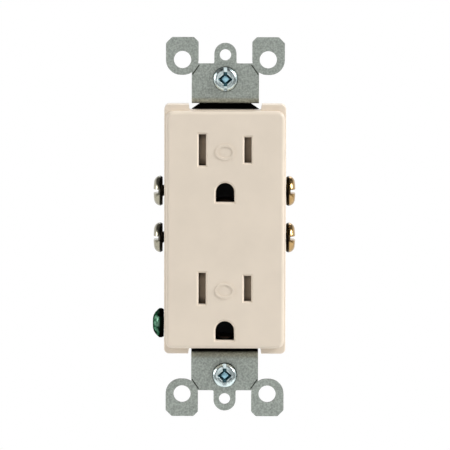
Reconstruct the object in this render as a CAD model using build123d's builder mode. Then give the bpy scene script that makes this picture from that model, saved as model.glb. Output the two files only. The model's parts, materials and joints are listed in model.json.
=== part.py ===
"""Duplex wall outlet: a rectangular-face, shuttered 15 A receptacle on a steel mounting strap.

Millimetres. +X is to the right of someone facing the wall, +Y goes into the wall and +Z is up.
The origin is on the wall plane, the back of the strap's ears, at the device's centre.
A depth is a Y position: negative depths stand out from the wall.
"""

import math
import os

from build123d import *

# Outlets: two alike, one above the other. Blades are 12.7 mm apart.
BLADE_LINES = {"upper": 22.2, "lower": -16.55}
SLOT_X = 6.35
GROUND_DROP = 11.8              # from the blade line down to the ground hole
GROUND_R = 2.6
GROUND_FLAT = 2.75              # from the ground hole's arc centre down to its flat side
NEUTRAL_SLOT = (2.0, 8.75)
LINE_SLOT = (2.0, 7.15)
RIM_BEVEL = 0.5                 # round every slot and ground hole
SIDES = {"line": 1, "neutral": -1}

# Strap
STEEL = 1.1                     # sheet thickness
STRAP_HALF = 53.34
NECK_HALF = 9.4
PLATE_END_Z = 46.0
BEND_Z = 34.8                   # face of each leg, next to the cover
TOP_BEND_R = 1.8                # outside radius of the bend at the root of each end plate
BOTTOM_BEND_R = 2.6
MID_BEND_R = 1.8                # and where each leg meets the plate under the cover
MID_FRONT = 2.5                 # depth of the plate under the cover
MID_BACK = MID_FRONT + STEEL
MID_HALF = 10.6
MID_WIDE_Z = 26.8               # the plate is wide between the case screws
EAR_INNER_X = 7.5
EAR_OUTER_X = 16.6
EAR_HOLE = (11.97, 47.05)
EAR_HOLE_R = 2.42
EAR_INNER_Z = 42.8
EAR_END_R = 4.2
EAR_CHAMFERS = (1.3, 1.7)       # at the inner and outer end corners
TAB_HALF = 3.1
TAB_TIP_Z = 51.75
TAB_ROOT_R = 0.4
PLATE_SCREW_Z = 48.42           # wall plate screws, 96.84 mm apart
PLATE_SCREW_HOLE_R = 1.58
BOX_SCREW_Z = 41.67             # mounting screws, 83.34 mm apart
BOX_SCREW_HOLE_R = 2.05
STRAP_GROUND_HOLE_R = 3.5
STRAP_WINDOW = (2.3, 4.9)       # half-width and half-height round each blade
SCORE_CENTRE = (8.25, 44.25)    # of each line where an ear snaps off
SCORE_TURN = 125.1              # degrees between it and X
SCORE_SIZE = (3.3, 0.35)
SCORE_DEPTH = 0.3

# Cover
COVER_Z = -0.25                 # its centre is a little below the strap's
FACE_DEPTH = -7.3
FLANGE_DEPTH = -4.1
FACE_HALF = (16.55, 33.2)
FACE_CORNER_R = 2.0
FACE_EDGE_R = 1.0
FLANGE_HALF = (17.0, 35.0)
FLANGE_CORNER_R = 1.4
FLANGE_EDGE_R = 0.35
CAVITY_HALF = (14.9, 31.6)
CAVITY_DEPTH = -5.2
CAVITY_CORNER_R = 1.5
NOTCH_HALF = 10.0
NOTCH_FLARE = 0.4               # how much wider each side is at the outer edge
NOTCH_FLOOR_Z = 33.35           # above the cover's centre
OVAL = (2.75, 2.2)              # half-width and half-height of the plain raised mark
OVAL_DROP = 0.6                 # below the blade line
OVAL_BAND = 0.65
OVAL_HEIGHT = 0.2
TONGUE = (2.4, 5.2)             # half-height and back depth

# Back body
BODY_BACK = 21.5
BODY_HALF = 16.0
BODY_TOP = (32.6, 30.8)         # front and back edges of its upper end
BODY_BOTTOM = (-33.2, -32.4)    # and of its lower end
RIM = (16.6, 4.2)               # half-width and back depth of its front rim
SIDE_WALL = 14.6                # inside face of each side wall
FLOOR_DEPTH = 16.0
CASE_SCREW_X = 12.9
CASE_SCREW_Z = (28.0, -22.3)
CASE_SCREW_R = 1.1
CASE_HEAD_R = 2.2
CASE_HEAD_DEPTH = 19.9          # underside of each case screw's head
CASE_SCREW_TIP = -3.4
TIP_GAP = 0.4                   # from each case screw's tip to the end of its hole
BOSS_R = 2.2
FIT = 0.02                      # gap round each case screw's shank
WIRE_X = 12.2
WIRE_R = 1.1
WIRE_Z = {"upper": 15.4, "lower": -10.3}

# Terminals
BRASS = 0.8
TERMINAL_DEPTH = 9.8
TERMINAL_Z = {"upper": 9.45, "lower": -3.8}
TERMINAL_SIZE = (8.6, 9.6)      # along Y and Z
TERMINAL_FACE = 16.9            # outer face of each terminal plate
TERMINAL_BACK = TERMINAL_FACE - BRASS
GROUND_TERMINAL_Z = -28.2
WEB_DEPTH = 15.0
BAR = (6.2, 10.5)               # inner and outer edges of each bus bar
ARM_HALF = 2.5                  # half-height of each arm out to a terminal plate
CLIP_SHEET = 0.6
CLIP_HALF = 3.2                 # half-height of each blade clip
HEAD_UNDERSIDE = {"line": 17.3, "neutral": 17.65}
HEAD_R = 4.25
HEAD_THICK = 2.62
HEAD_DOME_R = 1.9
HEX_UNDERSIDE = 17.3
HEX_R = 4.2
HEX_THICK = 3.15
HEX_DOME_R = 1.3
HEAD_TAPER = (0.6, 0.3)         # along the axis and inward, at every head's underside
SHANK_R = 1.75
SHANK_LENGTH = 7.9
THREAD_GAP = 0.05

# Shutters
SHUTTER_FRONT = -5.1
SHUTTER_BACK = -3.3
SHUTTER_X = (-8.1, 8.0)
SHUTTER_HALF_Z = 4.6
SHUTTER_TRAVEL = 2.9
CARRIER_FRONT = -3.2
CARRIER_BACK = -1.4
CARRIER_HALF = (10.4, 5.2)
SPRING_R = 0.85
SPRING_WIRE = 0.28
SPRING_SEAT_X = 13.4
SPRING_DEPTH = -4.2

# Mounting screws, 1 1/4 in long, each with its captive washer
SCREW_SEAT = -STEEL - 0.05
SCREW_TIP = 30.65
SCREW_HEAD_R = 3.5
SCREW_NECK_R = 1.45
RETAINER = (2.6, 3.5)           # depths of its two faces


def facing(depth):
    """The plane at this depth that faces the room: its local x is X and its local y is Z."""
    return Plane.XZ.offset(-depth)


def slab(width, height, front, back, at=(0, 0), radius=0, mode=Mode.ADD):
    """A rectangular block between two depths, with rounded corners if it has a radius."""
    with BuildSketch(facing(back)) as outline:
        with Locations(at):
            if radius:
                RectangleRounded(width, height, radius)
            else:
                Rectangle(width, height)
    extrude(outline.sketch, amount=back - front, mode=mode)


def span(x_ends, z_ends, front, back, mode=Mode.ADD):
    """A rectangular block between two X positions, two Z positions and two depths."""
    centre = (sum(x_ends) / 2, sum(z_ends) / 2)
    slab(abs(x_ends[1] - x_ends[0]), abs(z_ends[1] - z_ends[0]), front, back, centre, mode=mode)


def disc(radius, front, back, at=(0, 0), mode=Mode.ADD):
    """A round bar, or with Mode.SUBTRACT a round hole, between two depths."""
    with BuildSketch(facing(back)) as outline:
        with Locations(at):
            Circle(radius)
    extrude(outline.sketch, amount=back - front, mode=mode)


def outline_slab(points, front, back, mode=Mode.ADD):
    """A block between two depths with this polygon as its front view."""
    with BuildSketch(facing(back)) as outline:
        with BuildLine():
            Polyline(*points, close=True)
        make_face()
    extrude(outline.sketch, amount=back - front, mode=mode)


def ribbon(points, radius, sheet, z_ends, mode=Mode.ADD):
    """A bent sheet-metal strip: this centreline in the XY plane, between two heights."""
    with BuildSketch(Plane.XY.offset(z_ends[0])) as section:
        with BuildLine() as path:
            FilletPolyline(*points, radius=radius)
        trace(path.line, line_width=sheet)
    extrude(section.sketch, amount=z_ends[1] - z_ends[0], mode=mode)


def ground_z(outlet):
    """Height of this outlet's ground hole, at the centre of its arc."""
    return BLADE_LINES[outlet] - GROUND_DROP


def ground_hole(outlet, front, back, mode=Mode.SUBTRACT):
    """The D-shaped ground hole: round on top, flat below."""
    z = ground_z(outlet)
    disc(GROUND_R, front, back, (0, z), mode=mode)
    span((-GROUND_R, GROUND_R), (z - GROUND_FLAT, z), front, back, mode=mode)


def corners(x, z):
    """The four mirrored positions of a point."""
    return [(side * x, end * z) for side in (-1, 1) for end in (-1, 1)]


def sideways_disc(radius, x_ends, depth, z, mode=Mode.ADD):
    """A round bar or hole along X."""
    low, high = sorted(x_ends)
    with BuildSketch(Plane.YZ.offset(low)) as outline:
        with Locations((depth, z)):
            Circle(radius)
    extrude(outline.sketch, amount=high - low, mode=mode)


def blade_windows(blade_z, half_width, half_height, front, back):
    """Cut the two openings that a plug's blades pass through."""
    for side in SIDES.values():
        x_ends = (side * SLOT_X - half_width, side * SLOT_X + half_width)
        span(x_ends, (blade_z - half_height, blade_z + half_height), front, back, mode=Mode.SUBTRACT)


def finish(piece, name):
    """Label one piece and write its file."""
    piece.part.label = name
    export_step(piece.part, f"parts/{name}.step")


os.makedirs("parts", exist_ok=True)

# ---------------------------------------------------------------- face cover
case_screw_places = [(side * CASE_SCREW_X, z) for side in (-1, 1) for z in CASE_SCREW_Z]

with BuildPart() as face_cover:
    slab(2 * FLANGE_HALF[0], 2 * FLANGE_HALF[1], FLANGE_DEPTH, MID_FRONT, (0, COVER_Z),
         radius=FLANGE_CORNER_R)
    fillet(face_cover.faces().sort_by(Axis.Y)[0].edges(), radius=FLANGE_EDGE_R)
    slab(2 * FACE_HALF[0], 2 * FACE_HALF[1], FACE_DEPTH, FLANGE_DEPTH, (0, COVER_Z), radius=FACE_CORNER_R)
    fillet(face_cover.faces().sort_by(Axis.Y)[0].edges(), radius=FACE_EDGE_R)
    slab(2 * CAVITY_HALF[0], 2 * CAVITY_HALF[1], CAVITY_DEPTH, MID_FRONT, (0, COVER_Z),
         radius=CAVITY_CORNER_R, mode=Mode.SUBTRACT)
    # Notches that the strap's necks pass through, a little wider at the outer edge
    for end in (-1, 1):
        floor_z = COVER_Z + end * NOTCH_FLOOR_Z
        outer_z = COVER_Z + end * (FLANGE_HALF[1] + 1)
        flare = [
            (-NOTCH_HALF, floor_z),
            (NOTCH_HALF, floor_z),
            (NOTCH_HALF + NOTCH_FLARE, outer_z),
            (-NOTCH_HALF - NOTCH_FLARE, outer_z),
        ]
        outline_slab(flare, FLANGE_DEPTH - 1, MID_FRONT + 1, mode=Mode.SUBTRACT)
    # Bosses for the case screws
    for place in case_screw_places:
        disc(BOSS_R, CAVITY_DEPTH, MID_FRONT, place)
        disc(CASE_SCREW_R + FIT, CASE_SCREW_TIP - TIP_GAP, MID_FRONT, place, mode=Mode.SUBTRACT)
    # Tongues that close the front of the body's terminal slots
    for side in SIDES.values():
        for z in TERMINAL_Z.values():
            span((side * (CAVITY_HALF[0] + 0.1), side * RIM[0]), (z - TONGUE[0], z + TONGUE[0]),
                 MID_FRONT - 0.5, TONGUE[1])
    # Blade slots and ground holes, each with a bevelled rim
    for outlet, blade_z in BLADE_LINES.items():
        for x, (width, height) in ((-SLOT_X, NEUTRAL_SLOT), (SLOT_X, LINE_SLOT)):
            slab(width, height, FACE_DEPTH - 1, CAVITY_DEPTH + 1, (x, blade_z), mode=Mode.SUBTRACT)
        ground_hole(outlet, FACE_DEPTH - 1, CAVITY_DEPTH + 1)
    face = face_cover.faces().filter_by(Plane.XZ).sort_by(Axis.Y)[0]
    chamfer(face.inner_wires().edges(), length=RIM_BEVEL)
    # A plain raised oval between each outlet's slots
    for blade_z in BLADE_LINES.values():
        with BuildSketch(facing(FACE_DEPTH)) as oval:
            with Locations((0, blade_z - OVAL_DROP)):
                Ellipse(*OVAL)
                Ellipse(OVAL[0] - OVAL_BAND, OVAL[1] - OVAL_BAND, mode=Mode.SUBTRACT)
        extrude(oval.sketch, amount=OVAL_HEIGHT)
finish(face_cover, "face_cover")

# ---------------------------------------------------------------- mounting strap
GROUND_TAB_Z = (-32.0, -24.4)
GROUND_TAB_BACK = 14.0
RELIEF_TRIANGLE = [(7.0, BEND_Z), (12.0, BEND_Z), (12.0, 33.2), (NECK_HALF, 33.2)]
RIVET_OFFSET = (3.2, 5.4)           # from the centre of each ground hole
RIVET_PLACES = [
    (side * RIVET_OFFSET[0], ground_z(outlet) + RIVET_OFFSET[1]) for outlet in BLADE_LINES for side in (-1, 1)
]
RIVET_R = 0.9
RIVET_HEAD = (1.5, 0.6)             # radius and thickness
CONTACT_SHEET = 0.7

with BuildPart() as mounting_strap:
    # Side view of the bent strip
    with BuildSketch(Plane.YZ) as side_view:
        with BuildLine():
            front_line = FilletPolyline(
                (-STEEL, STRAP_HALF),
                (-STEEL, BEND_Z),
                (MID_FRONT, BEND_Z),
                (MID_FRONT, -BEND_Z),
                (-STEEL, -BEND_Z),
                (-STEEL, -STRAP_HALF),
                radius=[TOP_BEND_R, MID_BEND_R - STEEL, MID_BEND_R - STEEL, BOTTOM_BEND_R],
            )
            back_line = FilletPolyline(
                (0, STRAP_HALF),
                (0, BEND_Z + STEEL),
                (MID_BACK, BEND_Z + STEEL),
                (MID_BACK, -BEND_Z - STEEL),
                (0, -BEND_Z - STEEL),
                (0, -STRAP_HALF),
                radius=[TOP_BEND_R - STEEL, MID_BEND_R, MID_BEND_R, BOTTOM_BEND_R - STEEL],
            )
            Line(front_line @ 0, back_line @ 0)
            Line(front_line @ 1, back_line @ 1)
        make_face()
    extrude(side_view.sketch, amount=EAR_OUTER_X, both=True)
    # Front view of the blank, which trims the strip to its ears, tabs and necks
    with BuildSketch(facing(MID_BACK + 1)) as front_view:
        Rectangle(2 * NECK_HALF, 2 * PLATE_END_Z)
        Rectangle(2 * MID_HALF, 2 * MID_WIDE_Z)
        SlotCenterToCenter(2 * (TAB_TIP_Z - TAB_HALF), 2 * TAB_HALF, rotation=90)
        inner, outer = EAR_CHAMFERS
        for side, end in corners(1, 1):
            with BuildLine():
                FilletPolyline(
                    (side * EAR_INNER_X, end * EAR_INNER_Z),
                    (side * EAR_OUTER_X, end * EAR_INNER_Z),
                    (side * EAR_OUTER_X, end * (STRAP_HALF - outer)),
                    (side * (EAR_OUTER_X - outer), end * STRAP_HALF),
                    (side * (EAR_INNER_X + inner), end * STRAP_HALF),
                    (side * EAR_INNER_X, end * (STRAP_HALF - inner)),
                    radius=[EAR_END_R, EAR_END_R, 0.5, 0.5, 0.5, 0.5],
                    close=True,
                )
            make_face()
        tab_roots = front_view.vertices().filter_by_position(Axis.X, -EAR_INNER_X - 0.1, EAR_INNER_X + 0.1)
        fillet([root for root in tab_roots if abs(abs(root.Y) - PLATE_END_Z) < 0.1], radius=TAB_ROOT_R)
    extrude(front_view.sketch, amount=MID_BACK + STEEL + 2, mode=Mode.INTERSECT)
    # The upper neck is cut away at both corners of its bend
    for side in (-1, 1):
        outline_slab([(side * x, z) for x, z in RELIEF_TRIANGLE], -2, MID_BACK + 1, mode=Mode.SUBTRACT)
    # Ground tab: an arm out to the left, bent back beside the body
    span((-TERMINAL_FACE, -NECK_HALF + 1), GROUND_TAB_Z, MID_FRONT, MID_BACK)
    span((-TERMINAL_FACE, -TERMINAL_FACE + STEEL), GROUND_TAB_Z, MID_FRONT, GROUND_TAB_BACK)
    sideways_disc(
        SHANK_R + THREAD_GAP, (-TERMINAL_FACE - 1, -TERMINAL_FACE + 3), TERMINAL_DEPTH, GROUND_TERMINAL_Z,
        mode=Mode.SUBTRACT,
    )
    # Holes
    for place in corners(*EAR_HOLE):
        disc(EAR_HOLE_R, -2, 1, place, mode=Mode.SUBTRACT)
    for end in (-1, 1):
        disc(PLATE_SCREW_HOLE_R, -2, 1, (0, end * PLATE_SCREW_Z), mode=Mode.SUBTRACT)
        disc(BOX_SCREW_HOLE_R, -2, 1, (0, end * BOX_SCREW_Z), mode=Mode.SUBTRACT)
    for outlet, blade_z in BLADE_LINES.items():
        blade_windows(blade_z, *STRAP_WINDOW, MID_FRONT - 1, MID_BACK + 1)
        disc(STRAP_GROUND_HOLE_R, MID_FRONT - 1, MID_BACK + 1, (0, ground_z(outlet)), mode=Mode.SUBTRACT)
    for place in RIVET_PLACES:
        disc(RIVET_R + FIT, MID_FRONT - 1, MID_BACK + 1, place, mode=Mode.SUBTRACT)
    # Score lines where the ears snap off
    for side, end in corners(1, 1):
        with BuildSketch(facing(-STEEL + SCORE_DEPTH)) as score:
            centre = (side * SCORE_CENTRE[0], end * SCORE_CENTRE[1])
            with Locations(Location(centre, side * end * SCORE_TURN)):
                Rectangle(*SCORE_SIZE)
        extrude(score.sketch, amount=1, mode=Mode.SUBTRACT)
finish(mounting_strap, "mounting_strap")

# ---------------------------------------------------------------- back body
GROUND_POCKET = (4.8, 3.65, 14.0)   # half-width, half-height and depth of its floor
CONTACT_SEAT = (5.7, 7.5, 5.3)      # half-width, height above the hole and depth of its floor
BARRIER = (1.3, 16.8, 10.8)         # half-height, outer face and back depth
STRAP_FIT = 0.3
BODY_CHAMFER = 0.8
BODY_CORNER_R = 1.0
CHANNEL_X = (6.0, 10.9)
CHANNEL_GAP = 0.7                   # past each end of a bus bar
BAY_GAP = 2.9                       # past the middle of each wire hole
BLADE_POCKET = (4.2, 7.0, 3.9)      # inner and outer edges and half-height
RELEASE_X = (10.9, 13.5)
RELEASE_Z = (2.0, 2.9)              # above the middle of each wire hole
GROUND_SHANK_HOLE_R = 2.1
CASE_SHANK_GAP = 0.2
CASE_HEAD_GAP = 0.15
GAUGE_GROOVE = (1.8, 11.1, 0.5)     # width, length and depth
OUTSIDE = 20                        # an X past every side face

with BuildPart() as back_body:
    with BuildSketch(Plane.YZ) as body_side:
        with BuildLine():
            Polyline(
                (MID_FRONT, BODY_TOP[0]),
                (BODY_BACK, BODY_TOP[1]),
                (BODY_BACK, BODY_BOTTOM[1]),
                (MID_FRONT, BODY_BOTTOM[0]),
                close=True,
            )
        make_face()
    extrude(body_side.sketch, amount=BODY_HALF, both=True)
    chamfer(back_body.faces().sort_by(Axis.Y)[-1].edges(), length=BODY_CHAMFER)
    fillet(back_body.edges().filter_by(Axis.Y, tolerance=8), radius=BODY_CORNER_R)
    span((-RIM[0], RIM[0]), (BODY_BOTTOM[0], BODY_TOP[0]), MID_FRONT, RIM[1])
    # Barriers between the upper and lower terminals
    barrier_z = sum(TERMINAL_Z.values()) / 2
    half_height, outer, back = BARRIER
    for side in SIDES.values():
        span((side * (BODY_HALF - 1), side * outer), (barrier_z - half_height, barrier_z + half_height),
             RIM[1] - 1, back)
    # Seat for the strap
    for half_width, half_height in ((MID_HALF, MID_WIDE_Z), (NECK_HALF, STRAP_HALF)):
        slab(2 * (half_width + STRAP_FIT), 2 * (half_height + STRAP_FIT), MID_FRONT - 1, MID_BACK,
             mode=Mode.SUBTRACT)
    tab_slot = (GROUND_TAB_Z[0] - STRAP_FIT, GROUND_TAB_Z[1] + STRAP_FIT)
    span((-OUTSIDE, -NECK_HALF), tab_slot, MID_FRONT - 1, MID_BACK, mode=Mode.SUBTRACT)
    span((-OUTSIDE, -TERMINAL_FACE + STEEL + 0.1), tab_slot, MID_FRONT - 1, GROUND_TAB_BACK + STRAP_FIT,
         mode=Mode.SUBTRACT)
    sideways_disc(GROUND_SHANK_HOLE_R, (-OUTSIDE, -8.6), TERMINAL_DEPTH, GROUND_TERMINAL_Z,
                  mode=Mode.SUBTRACT)
    for side in SIDES.values():
        # Bus bar channel, terminal bay and the pockets behind the blade slots
        reach = CLIP_HALF + CHANNEL_GAP
        channel_ends = (BLADE_LINES["lower"] - reach, BLADE_LINES["upper"] + reach)
        span([side * x for x in CHANNEL_X], channel_ends, MID_FRONT - 1, FLOOR_DEPTH, mode=Mode.SUBTRACT)
        bay_ends = (WIRE_Z["lower"] - BAY_GAP, WIRE_Z["upper"] + BAY_GAP)
        span((side * CHANNEL_X[0], side * SIDE_WALL), bay_ends, MID_FRONT - 1, FLOOR_DEPTH,
             mode=Mode.SUBTRACT)
        inner, outer, half_height = BLADE_POCKET
        for blade_z in BLADE_LINES.values():
            span((side * inner, side * outer), (blade_z - half_height, blade_z + half_height),
                 MID_FRONT - 1, FLOOR_DEPTH, mode=Mode.SUBTRACT)
        for z in TERMINAL_Z.values():
            span((side * 14, side * 17), (z - ARM_HALF - 0.1, z + ARM_HALF + 0.1), MID_FRONT - 1, FLOOR_DEPTH,
                 mode=Mode.SUBTRACT)
        # Push-in wire holes with a release slot beside each
        for z in WIRE_Z.values():
            disc(WIRE_R, FLOOR_DEPTH - 1, BODY_BACK + 1, (side * WIRE_X, z), mode=Mode.SUBTRACT)
            span([side * x for x in RELEASE_X], [z + above for above in RELEASE_Z], FLOOR_DEPTH - 1,
                 BODY_BACK + 1, mode=Mode.SUBTRACT)
    # Ground contact pockets
    for outlet in BLADE_LINES:
        z = ground_z(outlet)
        half_width, half_height, floor = GROUND_POCKET
        span((-half_width, half_width), (z - half_height, z + half_height), MID_FRONT, floor,
             mode=Mode.SUBTRACT)
        seat_half, seat_top, seat_floor = CONTACT_SEAT
        span((-seat_half, seat_half), (z - half_height, z + seat_top), MID_FRONT, seat_floor,
             mode=Mode.SUBTRACT)
    # Case screw holes
    for place in case_screw_places:
        disc(CASE_SCREW_R + CASE_SHANK_GAP, 0, BODY_BACK + 1, place, mode=Mode.SUBTRACT)
        disc(CASE_HEAD_R + CASE_HEAD_GAP, CASE_HEAD_DEPTH, BODY_BACK + 1, place, mode=Mode.SUBTRACT)
    # Strip gauge groove on the back
    slab(*GAUGE_GROOVE[:2], BODY_BACK - GAUGE_GROOVE[2], BODY_BACK + 1, mode=Mode.SUBTRACT)
finish(back_body, "back_body")

# ---------------------------------------------------------------- bus bars
WING = (8.5, 2.0)                   # front depth and half-height of each wire wing
LINK = (12.4, 14.0)                 # depths of the break-off link's edges
PUSH_IN_SHEET = 0.4
PUSH_IN_HALF = 1.9                  # half-height of each push-in clip


def blade_clip(side, blade_z):
    """A two-leaf blade contact, flared at its mouth."""
    leaf = [(1.45, 4.9), (0.85, 7.3), (1.35, 10.5), (1.35, WEB_DEPTH + CLIP_SHEET / 2)]
    outline = [(side * SLOT_X - x, y) for x, y in leaf] + [(side * SLOT_X + x, y) for x, y in leaf[::-1]]
    radii = [1.5, 1.5, 0.5, 0.5, 1.5, 1.5]
    ribbon(outline, radii, CLIP_SHEET, (blade_z - CLIP_HALF, blade_z + CLIP_HALF))


for name, side in SIDES.items():
    with BuildPart() as bus:
        bar_ends = (BLADE_LINES["lower"] - CLIP_HALF, BLADE_LINES["upper"] + CLIP_HALF)
        span((side * BAR[0], side * BAR[1]), bar_ends, WEB_DEPTH, WEB_DEPTH + BRASS)
        for blade_z in BLADE_LINES.values():
            blade_clip(side, blade_z)
        for z in WIRE_Z.values():
            span((side * BAR[1], side * (BAR[1] + BRASS)), (z - WING[1], z + WING[1]),
                 WING[0], WEB_DEPTH + BRASS)
        for z in TERMINAL_Z.values():
            span((side * (BAR[1] - 1), side * TERMINAL_FACE), (z - ARM_HALF, z + ARM_HALF),
                 WEB_DEPTH, WEB_DEPTH + BRASS)
            half_height = TERMINAL_SIZE[1] / 2
            span((side * TERMINAL_BACK, side * TERMINAL_FACE), (z - half_height, z + half_height),
                 TERMINAL_DEPTH - TERMINAL_SIZE[0] / 2, WEB_DEPTH + BRASS)
        # Break-off link between the two terminals
        span((side * TERMINAL_BACK, side * TERMINAL_FACE), (TERMINAL_Z["lower"], TERMINAL_Z["upper"]),
             *LINK)
        for z in TERMINAL_Z.values():
            sideways_disc(SHANK_R + THREAD_GAP, (side * 15, side * 18), TERMINAL_DEPTH, z, mode=Mode.SUBTRACT)
    finish(bus, f"{name}_bus")
    # A push-in spring clip on the wall opposite each wire wing
    for outlet, z in WIRE_Z.items():
        with BuildPart() as push_in_clip:
            path = [(14.3, 15.6), (14.3, 5.8), (12.9, 5.8), (13.25, 12.6)]
            ribbon([(side * x, y) for x, y in path], [0.45, 0.45], PUSH_IN_SHEET,
                   (z - PUSH_IN_HALF, z + PUSH_IN_HALF))
        finish(push_in_clip, f"{name}_push_in_clip_{outlet}")

# ---------------------------------------------------------------- ground contacts
CONTACT_PLATE = (5.4, 7.2)          # half-width and height above the hole
LEAF_HALF = 2.9                     # half-height of its leaves
WEB_Z = (-3.6, -3.05)               # the web under the pin, measured from its hole
WEB_BACK = 12.6
EAR = (3.6, 4.3, 6.5)               # inner and outer faces and back depth of each ear beside the web

for outlet in BLADE_LINES:
    z = ground_z(outlet)
    with BuildPart() as ground_contact:
        half_width, above = CONTACT_PLATE
        span((-half_width, half_width), (z - LEAF_HALF, z + above), MID_BACK, MID_BACK + CONTACT_SHEET)
        disc(STRAP_GROUND_HOLE_R, MID_BACK - 1, MID_BACK + 2, (0, z), mode=Mode.SUBTRACT)
        for place in RIVET_PLACES:
            disc(RIVET_R + FIT, MID_BACK - 1, MID_BACK + 2, place, mode=Mode.SUBTRACT)
        for side in (-1, 1):
            leaf = [(4.0, MID_BACK + 0.1), (4.0, 6.5), (2.6, 9.6), (3.4, 13.2)]
            ribbon([(side * x, y) for x, y in leaf], [2.0, 1.5], CONTACT_SHEET,
                   (z - LEAF_HALF, z + LEAF_HALF))
            span((side * EAR[0], side * EAR[1]), (z + WEB_Z[0], z - LEAF_HALF + 0.5), MID_BACK, EAR[2])
        # Web under the pin, which joins the two leaves
        span((-EAR[1], EAR[1]), (z + WEB_Z[0], z + WEB_Z[1]), MID_BACK, WEB_BACK)
    finish(ground_contact, f"ground_contact_{outlet}")

with BuildPart() as ground_rivets:
    for place in RIVET_PLACES:
        head_r, head_thick = RIVET_HEAD
        back = MID_BACK + CONTACT_SHEET
        disc(RIVET_R, MID_FRONT - head_thick / 2, back + head_thick / 2, place)
        disc(head_r, MID_FRONT - head_thick, MID_FRONT, place)
        disc(head_r, back, back + head_thick, place)
finish(ground_rivets, "ground_rivets")

# ---------------------------------------------------------------- shutters
SHUTTER_OPENING = (1.2, 3.9)        # half-width and half-height
RAMP = (1.1, -1.9)                  # its front edge and back edge, from the middle of the slot
RAMP_HALF = {-SLOT_X: 4.35, SLOT_X: 3.7}
RAMP_FLOOR = SHUTTER_BACK - 0.5
RAIL_GAP = 0.15                     # between the shutter and the rails above and below it
FOOT_X = (9.0, 10.2)
FOOT_Z = (3.4, 4.6)                 # from the blade line
CARRIER_WINDOW = (1.5, 4.5)         # half-width and half-height round each blade
SEAT_HALF = (1.9, 1.5)              # half-heights of the spring's arm and seat
SEAT_THICK = 0.8

for outlet, blade_z in BLADE_LINES.items():
    with BuildPart() as shutter:
        span(SHUTTER_X, (blade_z - SHUTTER_HALF_Z, blade_z + SHUTTER_HALF_Z), SHUTTER_FRONT, SHUTTER_BACK)
        # The opening that comes under the line slot when the shutter has slid over
        open_x = SLOT_X - SHUTTER_TRAVEL
        half_width, half_height = SHUTTER_OPENING
        span((open_x - half_width, open_x + half_width), (blade_z - half_height, blade_z + half_height),
             SHUTTER_FRONT - 1, SHUTTER_BACK + 1, mode=Mode.SUBTRACT)
        # A ramp under each slot turns a blade's push into the sideways slide
        for ramp_x, half_height in RAMP_HALF.items():
            with BuildSketch(Plane.XY.offset(blade_z - half_height)) as ramp:
                with BuildLine():
                    Polyline(
                        (ramp_x + RAMP[0], SHUTTER_FRONT - 0.1),
                        (ramp_x + RAMP[1], RAMP_FLOOR),
                        (ramp_x + RAMP[1], SHUTTER_FRONT - 0.1),
                        close=True,
                    )
                make_face()
            extrude(ramp.sketch, amount=2 * half_height, mode=Mode.SUBTRACT)
    finish(shutter, f"shutter_{outlet}")

    with BuildPart() as shutter_carrier:
        half_x, half_z = CARRIER_HALF
        span((-half_x, half_x), (blade_z - half_z, blade_z + half_z), CARRIER_FRONT, CARRIER_BACK)
        for end in (-1, 1):
            rail = (blade_z + end * (SHUTTER_HALF_Z + RAIL_GAP), blade_z + end * half_z)
            span((-half_x, half_x), rail, SHUTTER_FRONT, CARRIER_FRONT)
            for side in (-1, 1):
                span([side * x for x in FOOT_X], [blade_z + end * z for z in FOOT_Z], CARRIER_BACK - 0.5,
                     MID_FRONT)
        # Arm and seat for the return spring
        arm_half, seat_half = SEAT_HALF
        seat_end = SPRING_SEAT_X + SEAT_THICK
        span((half_x - 1, seat_end), (blade_z - arm_half, blade_z + arm_half), CARRIER_FRONT, CARRIER_BACK)
        span((SPRING_SEAT_X, seat_end), (blade_z - seat_half, blade_z + seat_half), SHUTTER_FRONT,
             CARRIER_FRONT)
        blade_windows(blade_z, *CARRIER_WINDOW, CARRIER_FRONT - 1, CARRIER_BACK + 1)
    finish(shutter_carrier, f"shutter_carrier_{outlet}")

    with BuildPart() as shutter_spring:
        sideways_disc(SPRING_R, (SHUTTER_X[1], SPRING_SEAT_X), SPRING_DEPTH, blade_z)
        sideways_disc(SPRING_R - SPRING_WIRE, (SHUTTER_X[1], SPRING_SEAT_X), SPRING_DEPTH, blade_z,
                      mode=Mode.SUBTRACT)
    finish(shutter_spring, f"shutter_spring_{outlet}")

# ---------------------------------------------------------------- terminal screws
DRIVER_SLOT = (1.3, 1.5)            # width and depth
GROUND_SLOT_TURN = 52               # degrees between the ground screw's slot and Y


def domed_head(side, z, underside, radius, thickness, dome_radius):
    """A round head on an X axis, tapered at its underside and rounded at its outer edge."""
    top = underside + thickness
    with BuildSketch(Plane.XY.offset(z)) as profile:
        with BuildLine():
            dome_centre = (side * (top - dome_radius), TERMINAL_DEPTH + radius - dome_radius)
            CenterArc(dome_centre, dome_radius, 90, -90 * side)
            Polyline(
                (side * top, TERMINAL_DEPTH + radius - dome_radius),
                (side * top, TERMINAL_DEPTH),
                (side * underside, TERMINAL_DEPTH),
                (side * underside, TERMINAL_DEPTH + radius - HEAD_TAPER[1]),
                (side * (underside + HEAD_TAPER[0]), TERMINAL_DEPTH + radius),
                (side * (top - dome_radius), TERMINAL_DEPTH + radius),
            )
        make_face()
    revolve(profile.sketch, axis=Axis((0, TERMINAL_DEPTH, z), (1, 0, 0)))


def shank_and_slot(side, z, underside, top, turn=0):
    """Add a terminal screw's shank, which lies along X, and cut its driver slot."""
    sideways_disc(SHANK_R, (side * (underside - SHANK_LENGTH), side * underside), TERMINAL_DEPTH, z)
    bottom = side * (top - DRIVER_SLOT[1])
    with BuildSketch(Plane.YZ.offset(min(side * top, bottom))) as slot:
        with Locations((TERMINAL_DEPTH, z)):
            Rectangle(4 * HEAD_R, DRIVER_SLOT[0], rotation=turn)
    extrude(slot.sketch, amount=DRIVER_SLOT[1], mode=Mode.SUBTRACT)


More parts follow.
